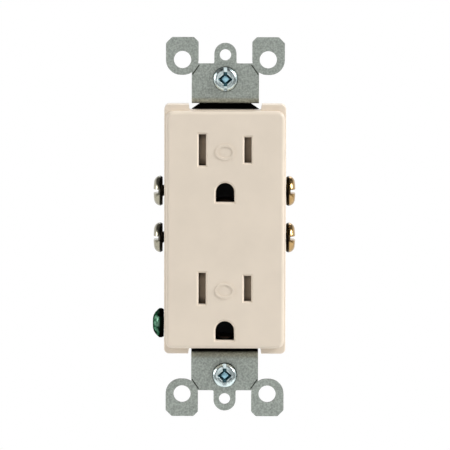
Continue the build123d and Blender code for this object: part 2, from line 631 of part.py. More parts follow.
for name, side in SIDES.items():
    underside = HEAD_UNDERSIDE[name]
    for outlet, z in TERMINAL_Z.items():
        with BuildPart() as screw:
            domed_head(side, z, underside, HEAD_R, HEAD_THICK, HEAD_DOME_R)
            shank_and_slot(side, z, underside, underside + HEAD_THICK)
        finish(screw, f"{name}_screw_{outlet}")

with BuildPart() as ground_screw:
    domed_head(-1, GROUND_TERMINAL_Z, HEX_UNDERSIDE, HEX_R, HEX_THICK, HEX_DOME_R)
    with BuildSketch(Plane.YZ.offset(-HEX_UNDERSIDE)) as hexagon:
        with Locations((TERMINAL_DEPTH, GROUND_TERMINAL_Z)):
            RegularPolygon(HEX_R, 6, rotation=90)
    extrude(hexagon.sketch, amount=-HEX_THICK, mode=Mode.INTERSECT)
    shank_and_slot(-1, GROUND_TERMINAL_Z, HEX_UNDERSIDE, HEX_UNDERSIDE + HEX_THICK, GROUND_SLOT_TURN)
finish(ground_screw, "ground_screw")

# ---------------------------------------------------------------- mounting screws
SCREW_HEAD_THICK = 2.0
SCREW_HEAD_EDGE_R = 1.4
SCREW_TIP_CHAMFER = 0.8
THREAD_START = RETAINER[1] + 0.1
RETAINER_R = 4.0
RETAINER_FIT = 0.08
RECESS_SLOT = (1.2, 1.0)            # width and depth
RECESS_CROSS = (1.9, 1.15)          # radius of the cross's points and of the corners between them
RECESS_CROSS_DEPTH = 1.25
cross = []
for step in range(8):
    turn = math.radians(45 * step)
    cross.append((RECESS_CROSS[step % 2] * math.cos(turn), RECESS_CROSS[step % 2] * math.sin(turn)))

for name, end in (("top", 1), ("bottom", -1)):
    place = (0, end * BOX_SCREW_Z)
    with BuildPart() as mounting_screw:
        disc(SCREW_HEAD_R, SCREW_SEAT - SCREW_HEAD_THICK, SCREW_SEAT, place)
        fillet(mounting_screw.faces().sort_by(Axis.Y)[0].edges(), radius=SCREW_HEAD_EDGE_R)
        disc(SCREW_NECK_R, SCREW_SEAT, THREAD_START, place)
        disc(SHANK_R, THREAD_START, SCREW_TIP, place)
        chamfer(mounting_screw.faces().sort_by(Axis.Y)[-1].edges(), length=SCREW_TIP_CHAMFER)
        slab(RECESS_SLOT[0], 3 * SCREW_HEAD_R, SCREW_SEAT - 3,
             SCREW_SEAT - SCREW_HEAD_THICK + RECESS_SLOT[1], place, mode=Mode.SUBTRACT)
        outline_slab([(x, place[1] + z) for x, z in cross], SCREW_SEAT - 3,
                     SCREW_SEAT - SCREW_HEAD_THICK + RECESS_CROSS_DEPTH, mode=Mode.SUBTRACT)
    finish(mounting_screw, f"mounting_screw_{name}")
    with BuildPart() as screw_retainer:
        disc(RETAINER_R, RETAINER[0], RETAINER[1], place)
        disc(SCREW_NECK_R + RETAINER_FIT, RETAINER[0] - 1, RETAINER[1] + 1, place, mode=Mode.SUBTRACT)
    finish(screw_retainer, f"screw_retainer_{name}")

# ---------------------------------------------------------------- case screws
CASE_RECESS = (3.2, 0.7, 0.8)       # length, width and depth of each bar of the cross

with BuildPart() as case_screws:
    for place in case_screw_places:
        disc(CASE_SCREW_R, CASE_SCREW_TIP, CASE_HEAD_DEPTH + 0.5, place)
        disc(CASE_HEAD_R, CASE_HEAD_DEPTH, BODY_BACK - 0.1, place)
        long, wide, deep = CASE_RECESS
        for size in ((long, wide), (wide, long)):
            slab(*size, BODY_BACK - deep, BODY_BACK, place, mode=Mode.SUBTRACT)
finish(case_screws, "case_screws")
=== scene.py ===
"""Duplex wall outlet: materials, detailed screws and springs, studio and camera.

Metres, in the frame of the CAD model: +X right, +Y into the wall, +Z up, origin on the wall plane.
"""

import json
import math

import bpy
from mathutils import Matrix, Quaternion, Vector


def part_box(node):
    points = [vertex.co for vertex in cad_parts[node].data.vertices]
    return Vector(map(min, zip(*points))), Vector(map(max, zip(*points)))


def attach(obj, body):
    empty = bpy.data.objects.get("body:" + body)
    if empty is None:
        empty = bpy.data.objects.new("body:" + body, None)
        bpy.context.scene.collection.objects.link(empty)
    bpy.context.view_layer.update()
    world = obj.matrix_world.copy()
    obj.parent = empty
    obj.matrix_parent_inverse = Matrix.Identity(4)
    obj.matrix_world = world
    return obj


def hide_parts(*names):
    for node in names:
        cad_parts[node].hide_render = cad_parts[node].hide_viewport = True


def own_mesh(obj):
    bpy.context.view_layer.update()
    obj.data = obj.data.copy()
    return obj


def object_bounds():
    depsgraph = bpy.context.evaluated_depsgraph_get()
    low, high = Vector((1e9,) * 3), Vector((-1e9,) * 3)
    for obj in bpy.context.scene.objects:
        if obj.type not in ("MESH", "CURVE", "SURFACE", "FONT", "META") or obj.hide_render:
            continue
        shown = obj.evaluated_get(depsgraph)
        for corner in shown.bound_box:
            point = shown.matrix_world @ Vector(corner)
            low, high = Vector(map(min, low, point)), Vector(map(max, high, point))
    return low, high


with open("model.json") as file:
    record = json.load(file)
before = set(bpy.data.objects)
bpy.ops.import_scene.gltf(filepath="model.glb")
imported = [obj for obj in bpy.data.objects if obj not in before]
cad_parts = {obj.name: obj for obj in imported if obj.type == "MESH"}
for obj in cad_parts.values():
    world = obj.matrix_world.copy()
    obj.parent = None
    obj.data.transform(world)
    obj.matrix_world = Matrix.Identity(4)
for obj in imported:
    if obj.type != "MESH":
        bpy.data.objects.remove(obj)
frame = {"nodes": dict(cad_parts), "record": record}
cad_box = [list(corner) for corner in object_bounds()]

MM = 0.001
scene = bpy.context.scene

# ------------------------------------------------------------------ materials


def srgb(red, green, blue):
    """A display colour of 0 to 255 as the linear colour that shaders take."""
    def linear(value):
        value /= 255
        return value / 12.92 if value <= 0.04045 else ((value + 0.055) / 1.055) ** 2.4
    return (linear(red), linear(green), linear(blue), 1)


# Where painted shade and bare edges start and end. Each pair is a soft border: the first value is still
# fully on one side of it, the second fully on the other
NECK_SHADE_Y = (-0.35 * MM, 0.45 * MM)
NECK_SHADE_Z = (35.5 * MM, 35.7 * MM)
NECK_SHADE_X = (9.6 * MM, 9.9 * MM)
PLATE_FRONT_Y = (-1.05 * MM, -0.95 * MM)
PLATE_BACK_Y = (-0.1 * MM, -0.04 * MM)
PLATE_START_Z = (37.8 * MM, 38.0 * MM)
SHUTTER_UNSHADED_Z = (2.4 * MM, 4.3 * MM)
BRASS_SHADE_X = (17.98 * MM, 18.3 * MM)
NICKEL_SHADE_X = (18.35 * MM, 18.65 * MM)
GREEN_SHADE_X = (18.3 * MM, 19.2 * MM)
# Of the mounting screws, for the painted shade in the recess and under the rim: depths are below the top of
# the head, and the rim is in front of the strap
RECESS_R = (1.95 * MM, 2.1 * MM)
RECESS_WALL_DEPTH = (0.06 * MM, 0.18 * MM)
RECESS_BOTTOM_DEPTH = (1.05 * MM, 1.14 * MM)
RECESS_END_DEPTH = (1.3 * MM, 1.4 * MM)
RIM_R = (3.25 * MM, 3.4 * MM)
RIM_Y = (0.0, 0.1 * MM)


class Surface:
    """A procedural material: a Principled shader with helpers for its texture nodes."""

    def __init__(self, name, metallic=0.0, specular=0.5):
        self.material = bpy.data.materials.new(name)
        self.material.use_nodes = True
        self.tree = self.material.node_tree
        self.shader = self.tree.nodes["Principled BSDF"]
        self.shader.inputs["Metallic"].default_value = metallic
        self.shader.inputs["Specular IOR Level"].default_value = specular
        self.place = self.node("ShaderNodeTexCoord").outputs["Object"]

    def node(self, kind, **settings):
        """A new texture node with these settings."""
        made = self.tree.nodes.new(kind)
        for key, value in settings.items():
            setattr(made, key, value)
        return made

    def link(self, output, target):
        """Lead an output to an input."""
        self.tree.links.new(output, target)

    def stretched(self, x, y, z):
        """Object coordinates scaled along each axis, for grain that runs one way."""
        mapping = self.node("ShaderNodeMapping")
        mapping.inputs["Scale"].default_value = (x, y, z)
        self.link(self.place, mapping.inputs["Vector"])
        return mapping.outputs["Vector"]

    def noise(self, size, detail=3.0, place=None):
        """Noise whose features are about this many metres across."""
        made = self.node("ShaderNodeTexNoise")
        made.inputs["Scale"].default_value = 1 / size
        made.inputs["Detail"].default_value = detail
        self.link(place or self.place, made.inputs["Vector"])
        return made.outputs["Fac"]

    def cells(self, size):
        """A random grey for each crystal of this size."""
        made = self.node("ShaderNodeTexVoronoi")
        made.inputs["Scale"].default_value = 1 / size
        self.link(self.place, made.inputs["Vector"])
        grey = self.node("ShaderNodeSeparateColor")
        self.link(made.outputs["Color"], grey.inputs["Color"])
        return grey.outputs["Red"]

    def spread(self, value, low, high, start=0.3, end=0.7):
        """Rescale a texture from start..end to low..high."""
        made = self.node("ShaderNodeMapRange")
        made.inputs["From Min"].default_value = start
        made.inputs["From Max"].default_value = end
        made.inputs["To Min"].default_value = low
        made.inputs["To Max"].default_value = high
        self.link(value, made.inputs["Value"])
        return made.outputs["Result"]

    def ramp(self, value, stops):
        """Colours by the value of a texture."""
        made = self.node("ShaderNodeValToRGB")
        elements = made.color_ramp.elements
        while len(elements) < len(stops):
            elements.new(0.5)
        for element, (position, colour) in zip(elements, stops):
            element.position = position
            element.color = colour
        self.link(value, made.inputs["Fac"])
        return made.outputs["Color"]

    def mix(self, factor, first, second):
        """Blend two colours by a texture or a number; each colour is a socket or a value."""
        made = self.node("ShaderNodeMix", data_type="RGBA")
        for key, value in ((0, factor), (6, first), (7, second)):
            if isinstance(value, bpy.types.NodeSocket):
                self.link(value, made.inputs[key])
            else:
                made.inputs[key].default_value = value
        return made.outputs[2]

    def under(self, value, border):
        """1 where a value is below a soft border, 0 above it."""
        return self.spread(value, 1, 0, *border)

    def over(self, value, border):
        """1 where a value is above a soft border, 0 below it."""
        return self.spread(value, 0, 1, *border)

    def size(self, value):
        """A value without its sign."""
        made = self.node("ShaderNodeMath", operation="ABSOLUTE")
        self.link(value, made.inputs[0])
        return made.outputs[0]

    def less(self, value, amount):
        """A value less this number."""
        made = self.node("ShaderNodeMath", operation="SUBTRACT")
        self.link(value, made.inputs[0])
        made.inputs[1].default_value = amount
        return made.outputs[0]

    def both(self, first, second):
        """1 where two masks overlap."""
        product = self.node("ShaderNodeMath", operation="MULTIPLY")
        self.link(first, product.inputs[0])
        self.link(second, product.inputs[1])
        return product.outputs[0]

    def axis(self, name):
        """The X, Y or Z of a point, in metres."""
        place = self.node("ShaderNodeSeparateXYZ")
        self.link(self.place, place.inputs[0])
        return place.outputs[name]

    def neck_shade_mask(self):
        """1 on the faces of the strap's legs that are turned to the cover, where the black painted shade
        goes, 0 elsewhere.
        """
        low = self.under(self.size(self.axis("Z")), NECK_SHADE_Z)
        narrow = self.under(self.size(self.axis("X")), NECK_SHADE_X)
        return self.both(self.over(self.axis("Y"), NECK_SHADE_Y), self.both(low, narrow))

    def cut_edges_and_score_shade(self):
        """1 on the end plates' sheared edges, hole walls and score lines, 0 elsewhere: the bare edges are
        darker steel, and in the score lines the darkening is painted shade.
        """
        depth = self.axis("Y")
        within = self.both(self.over(depth, PLATE_FRONT_Y), self.under(depth, PLATE_BACK_Y))
        return self.both(within, self.over(self.size(self.axis("Z")), PLATE_START_Z))

    def above_pair(self, lower, upper):
        """Height above the nearer of two alike places, mirrored for the lower one."""
        centred = self.less(self.axis("Z"), (lower + upper) / 2)
        return self.less(self.size(centred), (upper - lower) / 2)

    def screw_radius(self, screw_z):
        """Distance from the axes of the two mounting screws, which lie along Y."""
        offset = self.node("ShaderNodeCombineXYZ")
        self.link(self.axis("X"), offset.inputs["X"])
        self.link(self.above_pair(-screw_z, screw_z), offset.inputs["Z"])
        radius = self.node("ShaderNodeVectorMath", operation="LENGTH")
        self.link(offset.outputs[0], radius.inputs[0])
        return radius.outputs["Value"]

    def colour(self, output):
        """Use this as the colour."""
        self.link(output, self.shader.inputs["Base Color"])

    def roughness(self, output):
        """Use this as the roughness."""
        self.link(output, self.shader.inputs["Roughness"])

    def bump(self, *layers):
        """Stack bump layers, each (height texture, height in metres)."""
        normal = None
        for height, depth in layers:
            made = self.node("ShaderNodeBump")
            made.inputs["Strength"].default_value = 1
            made.inputs["Distance"].default_value = depth
            self.link(height, made.inputs["Height"])
            if normal:
                self.link(normal, made.inputs["Normal"])
            normal = made.outputs["Normal"]
        self.link(normal, self.shader.inputs["Normal"])


def scaled(colour, factor):
    """The same colour, lighter or darker."""
    return tuple(min(channel * factor, 1) for channel in colour[:3]) + (1,)


def plastic(name, colour, roughness, grain, specular=0.5):
    """Moulded plastic: slight mottling, a fine satin grain and a faint ripple."""
    made = Surface(name, specular=specular)
    flow = made.noise(9 * MM, 4)
    made.colour(made.ramp(flow, [(0.3, scaled(colour, 0.97)), (0.7, scaled(colour, 1.03))]))
    made.roughness(made.spread(made.noise(3 * MM, 1), roughness - 0.03, roughness + 0.03))
    made.bump((made.noise(9 * MM, 1), 0.01 * MM), (made.noise(0.5 * MM, 1), grain))
    return made.material


def shutter_plastic(name, lower, upper):
    """Taupe moulding of the two shutters, with painted shade towards the ends of the blade slots."""
    made = Surface(name)
    flow = made.noise(2 * MM, 4)
    unshaded = made.ramp(flow, [(0.3, srgb(138, 123, 106)), (0.7, srgb(150, 135, 117))])
    middle = made.under(made.size(made.above_pair(lower, upper)), SHUTTER_UNSHADED_Z)
    # Painted shade: darker towards the ends of the blade slots, where the cover shades the recessed shutter
    made.colour(made.mix(middle, srgb(78, 66, 52), unshaded))
    made.roughness(made.spread(flow, 0.45, 0.6))
    made.bump((flow, 0.01 * MM), (made.noise(0.3 * MM, 2), 0.004 * MM))
    return made.material


def sheet_metal(name, colour, roughness, variation):
    """Rolled, plated sheet: streaks along the rolling direction, which is Z, and a light mottle."""
    made = Surface(name, metallic=1.0)
    streaks = made.noise(1.5 * MM, 6, made.stretched(6, 6, 0.5))
    mottle = made.noise(3 * MM, 5)
    light = made.ramp(mottle, [(0.3, scaled(colour, 1 - variation)), (0.7, scaled(colour, 1 + variation))])
    dark = scaled(colour, 0.82)
    made.colour(made.mix(made.spread(streaks, 0.0, 0.35), light, dark))
    made.roughness(made.spread(streaks, roughness - 0.08, roughness + 0.1))
    made.bump((streaks, 0.006 * MM), (made.noise(0.3 * MM, 3), 0.003 * MM))
    return made.material


def galvanised(name):
    """Zinc-coated strap: fine grey crystals and faint clouds, darker bare cut edges with painted shade in
    the score lines, and painted black shade on the legs under the cover.
    """
    made = Surface(name, metallic=1.0)
    grey = srgb(176, 183, 176)
    grain = made.noise(0.5 * MM, 2)
    crystals = made.cells(0.75 * MM)
    clouds = made.noise(6 * MM, 4)
    base = made.ramp(grain, [(0.36, scaled(grey, 0.55)), (0.64, scaled(grey, 1.4))])
    spangle = made.ramp(crystals, [(0.0, scaled(grey, 0.75)), (1.0, scaled(grey, 1.22))])
    cloudy = made.ramp(clouds, [(0.35, scaled(grey, 0.9)), (0.65, scaled(grey, 1.08))])
    metal = made.mix(0.2, made.mix(0.4, base, spangle), cloudy)
    # Darker bare steel on the cut edges and hole walls, and painted shade in the score lines
    edges_and_score_shade = made.mix(made.cut_edges_and_score_shade(), metal, srgb(84, 86, 80))
    # Painted shade: the strap's legs in the narrow gap beside the cover's notch are painted near black
    made.colour(made.mix(made.neck_shade_mask(), edges_and_score_shade, srgb(6, 6, 5)))
    made.roughness(made.spread(crystals, 0.4, 0.55, 0.0, 1.0))
    made.bump((clouds, 0.02 * MM), (grain, 0.012 * MM))
    return made.material


def plated(name, colour, roughness, shade_x=None):
    """Plated screw: cloudy colour, soft tool marks, and painted black shade up to this distance from X = 0,
    next to the terminal plate.
    """
    made = Surface(name, metallic=1.0)
    clouds = made.noise(1.1 * MM, 5)
    metal = made.ramp(clouds, [(0.3, scaled(colour, 0.8)), (0.7, scaled(colour, 1.1))])
    if shade_x:
        # Painted shade: the band of the head next to the terminal plate is painted near black
        metal = made.mix(made.under(made.size(made.axis("X")), shade_x), metal, srgb(22, 19, 15))
    made.colour(metal)
    made.roughness(made.spread(clouds, roughness - 0.05, roughness + 0.09))
    made.bump((made.noise(0.5 * MM, 4), 0.004 * MM))
    return made.material


def zinc_head(name, top_y, screw_z):
    """Bright zinc plate with a blue cast, painted shade on the walls of the driver recess and a painted
    shadow under the rim; the recess bottom is a lighter blue.
    """
    made = Surface(name, metallic=1.0)
    clouds = made.noise(1.1 * MM, 5)
    metal = made.ramp(clouds, [(0.3, srgb(198, 214, 216)), (0.7, srgb(236, 250, 250))])
    radius = made.screw_radius(screw_z)
    depth = made.less(made.axis("Y"), top_y)
    inside = made.both(made.under(radius, RECESS_R), made.under(depth, RECESS_END_DEPTH))
    walls = made.both(made.over(depth, RECESS_WALL_DEPTH), inside)
    bottom = made.both(made.over(depth, RECESS_BOTTOM_DEPTH), inside)
    rim = made.both(made.over(radius, RIM_R), made.under(made.axis("Y"), RIM_Y))
    # Painted shadow under the rim and painted shade on the walls of the driver recess
    shaded_head = made.mix(walls, made.mix(rim, metal, srgb(70, 80, 78)), srgb(54, 84, 92))
    made.colour(made.mix(bottom, shaded_head, srgb(158, 204, 220)))
    made.roughness(made.spread(clouds, 0.2, 0.34))
    made.bump((made.noise(0.5 * MM, 4), 0.004 * MM))
    return made.material


def lacquered_green(name):
    """Green dyed lacquer over a plated screw, thin in patches, with painted near-black shade on the half
    next to the tab.
    """
    made = Surface(name, metallic=1.0)
    made.shader.inputs["Specular Tint"].default_value = srgb(20, 60, 40)
    clouds = made.noise(1.4 * MM, 5)
    lacquer = made.ramp(clouds, [(0.35, srgb(10, 58, 36)), (0.62, srgb(130, 176, 150))])
    # Painted shade: the half of the head next to the tab is painted near black
    made.colour(made.mix(made.under(made.size(made.axis("X")), GREEN_SHADE_X), lacquer, srgb(1, 9, 5)))
    made.roughness(made.spread(clouds, 0.16, 0.3))
    made.bump((made.noise(0.6 * MM, 4), 0.006 * MM))
    return made.material


def fibre(name):
    """Vulcanised fibre washer: dull red with short pale fibres."""
    made = Surface(name, specular=0.3)
    fibres = made.noise(0.5 * MM, 8, made.stretched(3, 3, 0.7))
    made.colour(made.ramp(fibres, [(0.35, srgb(110, 38, 30)), (0.7, srgb(150, 66, 50))]))
    made.roughness(made.spread(fibres, 0.7, 0.85))
    made.bump((fibres, 0.02 * MM))
    return made.material


MATERIALS = {
    "almond_plastic": plastic("almond_plastic", srgb(224, 211, 194), 0.36, 0.0006 * MM),
    "black_thermoset": plastic("black_thermoset", srgb(30, 30, 31), 0.5, 0.012 * MM, specular=0.4),
    "taupe_nylon": plastic("taupe_nylon", srgb(126, 111, 95), 0.5, 0.006 * MM),
    "natural_nylon": plastic("natural_nylon", srgb(216, 210, 196), 0.5, 0.006 * MM),
    "galvanised_steel": galvanised("galvanised_steel"),
    "brass_sheet": sheet_metal("brass_sheet", srgb(205, 172, 104), 0.3, 0.06),
    "nickel_plate": sheet_metal("nickel_plate", srgb(196, 192, 182), 0.28, 0.05),
    "spring_steel": sheet_metal("spring_steel", srgb(160, 162, 166), 0.3, 0.05),
    "zinc_plate": plated("zinc_plate", srgb(176, 182, 190), 0.26),
    "brass_screw": plated("brass_screw", srgb(184, 152, 104), 0.2, BRASS_SHADE_X),
    "nickel_screw": plated("nickel_screw", srgb(168, 164, 146), 0.2, NICKEL_SHADE_X),
    "green_screw": lacquered_green("green_screw"),
    "red_fibre": fibre("red_fibre"),
}

SLOTS = {entry["node"]: entry["material_slot"] for entry in frame["record"]["subparts"]}
BODY_OF = {node: body for body, nodes in frame["record"]["behaviour"]["bodies"].items() for node in nodes}


def middle_z(node):
    """Height of a node's middle."""
    low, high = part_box(node)
    return (low[2] + high[2]) / 2


shutters = shutter_plastic("shutter_plastic", middle_z("shutter_lower"), middle_z("shutter_upper"))
screw_top_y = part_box("mounting_screw_top")[0][1]
# Finishes of nodes that differ from the rest of their slot, by the start of the node's name
SPECIAL = {
    # Painted shade: the brass ground contacts, deep behind the ground holes, get a dark, matte copy of the
    # brass
    "ground_contact": plastic("shaded_brass", srgb(92, 66, 42), 0.5, 0.006 * MM),
    "mounting_screw": zinc_head("zinc_head", screw_top_y, middle_z("mounting_screw_top")),
    "shutter_upper": shutters,
    "shutter_lower": shutters,
}


def material_of(name):
    """The finish of a node: one of its own, or that of its slot."""
    own = [finish for start, finish in SPECIAL.items() if name.startswith(start)]
    return own[0] if own else MATERIALS[SLOTS[name]]


for name, node in frame["nodes"].items():
    node.data.materials.clear()
    node.data.materials.append(material_of(name))

# ------------------------------------------------------------------ mesh helpers

SMOOTH_ANGLE = math.radians(35)
# Every screw has 32 threads to the inch, about 3.5 mm across
THREAD_PITCH = 25.4 * MM / 32
THREAD_CREST_R = 1.75 * MM
THREAD_SIDES = 36
THREAD_RINGS = 12                # rings of vertices per turn


def limited(value, low, high):
    """Value limited to low..high."""
    return max(low, min(high, value))


def piece_from(name, vertices, faces):
    """An object with this mesh, linked to the scene."""
    mesh = bpy.data.meshes.new(name)
    mesh.from_pydata(vertices, [], faces)
    mesh.validate()
    made = bpy.data.objects.new(name, mesh)
    scene.collection.objects.link(made)
    return made


def tube_faces(rings, around):
    """Faces of a closed solid made of rings of vertices, one after the other."""
    faces = []
    for ring in range(rings - 1):
        for step in range(around):
            following = (step + 1) % around
            low = ring * around
            high = low + around
            faces.append((low + step, low + following, high + following, high + step))
    faces.append(tuple(reversed(range(around))))
    faces.append(tuple(range((rings - 1) * around, rings * around)))
    return faces


def spun(name, profile, around=72):
    """A closed solid of revolution about local Z. The profile is (radius, height) pairs, lowest first."""
    vertices = []
    for radius, height in profile:
        for step in range(around):
            angle = math.tau * step / around
            vertices.append((radius * math.cos(angle), radius * math.sin(angle), height))
    return piece_from(name, vertices, tube_faces(len(profile), around))


def prism(name, lower, upper, low, high):
    """A solid between two outlines with equally many points, at two heights."""
    vertices = [(x, y, low) for x, y in lower] + [(x, y, high) for x, y in upper]
    return piece_from(name, vertices, tube_faces(2, len(lower)))


def threaded(name, core_r, start, end, full_start, full_end):
    """A screw thread about local Z from start to end, at full depth between full_start and full_end."""
    rings = int((end - start) / THREAD_PITCH * THREAD_RINGS) + 1
    vertices = []
    for ring in range(rings):
        height = start + (end - start) * ring / (rings - 1)
        rise = (height - start) / (full_start - start)
        fall = (end - height) / (end - full_end)
        fade = limited(min(rise, fall), 0, 1)
        for step in range(THREAD_SIDES):
            ridge = 0.5 - 0.5 * math.cos(math.tau * (height / THREAD_PITCH - step / THREAD_SIDES))
            radius = core_r + (THREAD_CREST_R - core_r) * ridge * fade
            angle = math.tau * step / THREAD_SIDES
            vertices.append((radius * math.cos(angle), radius * math.sin(angle), height))
    return piece_from(name, vertices, tube_faces(rings, THREAD_SIDES))


def apply_modifiers(piece):
    """Replace a piece's mesh by what its modifiers make of it."""
    made = bpy.data.meshes.new_from_object(piece.evaluated_get(bpy.context.evaluated_depsgraph_get()))
    piece.modifiers.clear()
    piece.data = made


def join(piece, other, operation):
    """Cut another solid from a piece, weld it on or keep what both share, and drop the other."""
    boolean = piece.modifiers.new("boolean", "BOOLEAN")
    boolean.operation = operation
    boolean.object = other
    boolean.solver = "EXACT"
    apply_modifiers(piece)
    bpy.data.objects.remove(other)


def soften(piece, width):
    """Round a piece's sharp edges by this width."""
    bevel = piece.modifiers.new("bevel", "BEVEL")
    bevel.width = width
    bevel.segments = 2
    bevel.limit_method = "ANGLE"
    bevel.angle_limit = SMOOTH_ANGLE
    apply_modifiers(piece)


def shade_smooth(piece, thread_axis, thread_span):
    """Smooth shading, apart from edges sharper than SMOOTH_ANGLE outside the thread."""
    mesh = piece.data
    for face in mesh.polygons:
        face.use_smooth = True
    mesh.set_sharp_from_angle(angle=SMOOTH_ANGLE)
    for edge in mesh.edges:
        places = [mesh.vertices[index].co[thread_axis] for index in edge.vertices]
        if thread_span[0] < min(places) and max(places) < thread_span[1]:
            edge.use_edge_sharp = False


def arc(centre, radius, start, end, steps):
    """Points along an arc, as (radius, height) pairs of a profile; angles in degrees."""
    x, y = centre
    angles = [math.radians(start + (end - start) * step / steps) for step in range(steps + 1)]
    return [(x + radius * math.cos(angle), y + radius * math.sin(angle)) for angle in angles]


def place_on_axis(piece, origin, direction):
    """Stand a piece made about local Z on this point, with local Z along direction."""
    facing = Vector(direction).to_track_quat("Z", "Y").to_matrix().to_4x4()
    piece.data.transform(Matrix.Translation(origin) @ facing)


def finish(piece, node, thread_axis=0, thread_span=(0, 0)):
    """Put a piece in the place of a CAD node: same body, same slot. A thread lies between two places."""
    shade_smooth(piece, thread_axis, thread_span)
    piece.data.materials.clear()
    piece.data.materials.append(material_of(node))
    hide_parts(node)
    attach(piece, BODY_OF[node])


# ------------------------------------------------------------------ screws

THREAD_SMOOTH_END = 0.8 * MM     # the thread's shading is smooth up to here from the tip
AXIS_R = 0.01 * MM               # profiles start this far from the axis
# How far the cutters of slots and recesses reach past a head, sideways and above it
CUT_REACH = 9 * MM
CUT_ABOVE = 1 * MM

PAN_THICK = 2.0 * MM
PAN_EDGE_R = 1.35 * MM
PAN_CROWN = 0.1 * MM
PAN_LIP = 0.12 * MM
PAN_SOFT = 0.07 * MM
NECK_R = 1.45 * MM
NECK_LENGTH = 4.7 * MM
MOUNTING_CORE_R = 1.33 * MM
MOUNTING_SLOT = {"half": 0.58 * MM, "taper": 0.85, "depth": 0.85 * MM, "turn": 90}
# The driver recess is a four-pointed star: radii of its points and of the corners between them
STAR_ABOVE = 0.3 * MM
STAR_DEPTH = 1.2 * MM
STAR_ABOVE_R = (2.15 * MM, 1.55 * MM)
STAR_BOTTOM_R = (0.95 * MM, 0.7 * MM)
STAR_WIDTH = 1.12                # it is a little wider than tall
TIP_LENGTH = 1.0 * MM
# Of a thread: where it starts and is full, from the neck or head, and where it fades and ends, from the tip
MOUNTING_THREAD = (-0.2 * MM, 0.6 * MM, 1.9 * MM, 0.9 * MM)


def screw_box(node):
    """A screw's lowest corner, highest corner and centre."""
    low, high = (Vector(corner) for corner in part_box(node))
    return low, high, (low + high) / 2


def slotted(head, half, taper, depth, turn=0):
    """Cut a screwdriver slot along local X, turned by this many degrees, into the top of a head."""
    above = [(-CUT_REACH, -half), (CUT_REACH, -half), (CUT_REACH, half), (-CUT_REACH, half)]
    below = [(x, y * taper) for x, y in above]
    cutter = prism("slot_cut", above, below, -CUT_ABOVE, depth)
    cutter.data.transform(Matrix.Rotation(math.radians(turn), 4, "Z"))
    join(head, cutter, "DIFFERENCE")


def threaded_shank(core_r, neck_end, length, run):
    """The threaded part of a screw of this length, whose neck or head ends here."""
    start, full_start, full_end, end = run
    return threaded("shank", core_r, neck_end + start, length - end,
                    neck_end + full_start, length - full_end)


def star(point, corner):
    """Outline of a star with four points."""
    turns = [math.radians(45 * step) for step in range(8)]
    radii = [point, corner] * 4
    return [(radius * math.cos(turn), radius * math.sin(turn)) for radius, turn in zip(radii, turns)]


def mounting_screw(node):
    """Pan head with a combination recess, plain neck through the washer, then thread to a rounded tip."""
    low, high, centre = screw_box(node)
    head_r = (high.x - low.x) / 2
    length = high.y - low.y
    thread_start = PAN_THICK + NECK_LENGTH
    # Local Z runs from the top of the head to the tip
    profile = [(AXIS_R, 0.0), (0.9 * MM, 0.02 * MM), (1.6 * MM, 0.09 * MM)]
    profile += arc((head_r - PAN_EDGE_R, PAN_EDGE_R + PAN_CROWN), PAN_EDGE_R, -72, 0, 10)
    profile += [(head_r, PAN_THICK - PAN_LIP), (head_r - 0.1 * MM, PAN_THICK), (NECK_R, PAN_THICK)]
    profile += [(NECK_R, thread_start)]
    head = spun(f"{node}_piece", profile)
    slotted(head, **MOUNTING_SLOT)
    star_cut = prism("star_cut", star(*STAR_ABOVE_R), star(*STAR_BOTTOM_R), -STAR_ABOVE, STAR_DEPTH)
    star_cut.data.transform(Matrix.Diagonal((STAR_WIDTH, 1, 1, 1)))
    join(head, star_cut, "DIFFERENCE")
    soften(head, PAN_SOFT)
    shank = threaded_shank(MOUNTING_CORE_R, thread_start, length, MOUNTING_THREAD)
    tip_profile = [(MOUNTING_CORE_R, TIP_LENGTH), (1.2 * MM, 0.4 * MM), (0.7 * MM, 0.06 * MM),
                   (2 * AXIS_R, 0)]
    tip = spun("tip", [(radius, length - from_end) for radius, from_end in tip_profile], 32)
    join(shank, tip, "UNION")
    join(head, shank, "UNION")
    place_on_axis(head, (centre.x, low.y, centre.z), (0, 1, 0))
    finish(head, node, 1, (low.y + thread_start, high.y - THREAD_SMOOTH_END))


TERMINAL_THICK = 2.62 * MM
TERMINAL_DOME_R = 1.9 * MM
TERMINAL_CROWN = 0.16 * MM
TERMINAL_CORE_R = 1.38 * MM
TERMINAL_SLOT = {"half": 0.65 * MM, "taper": 0.9, "depth": 1.45 * MM}
TERMINAL_SOFT = 0.09 * MM
TERMINAL_THREAD = (-0.1 * MM, 0.3 * MM, 0.7 * MM, 0.0)
HEX_THICK = 3.15 * MM
HEX_SLOT_TURN = 52
HEX_TURN = 30                    # a corner of the hexagon points up


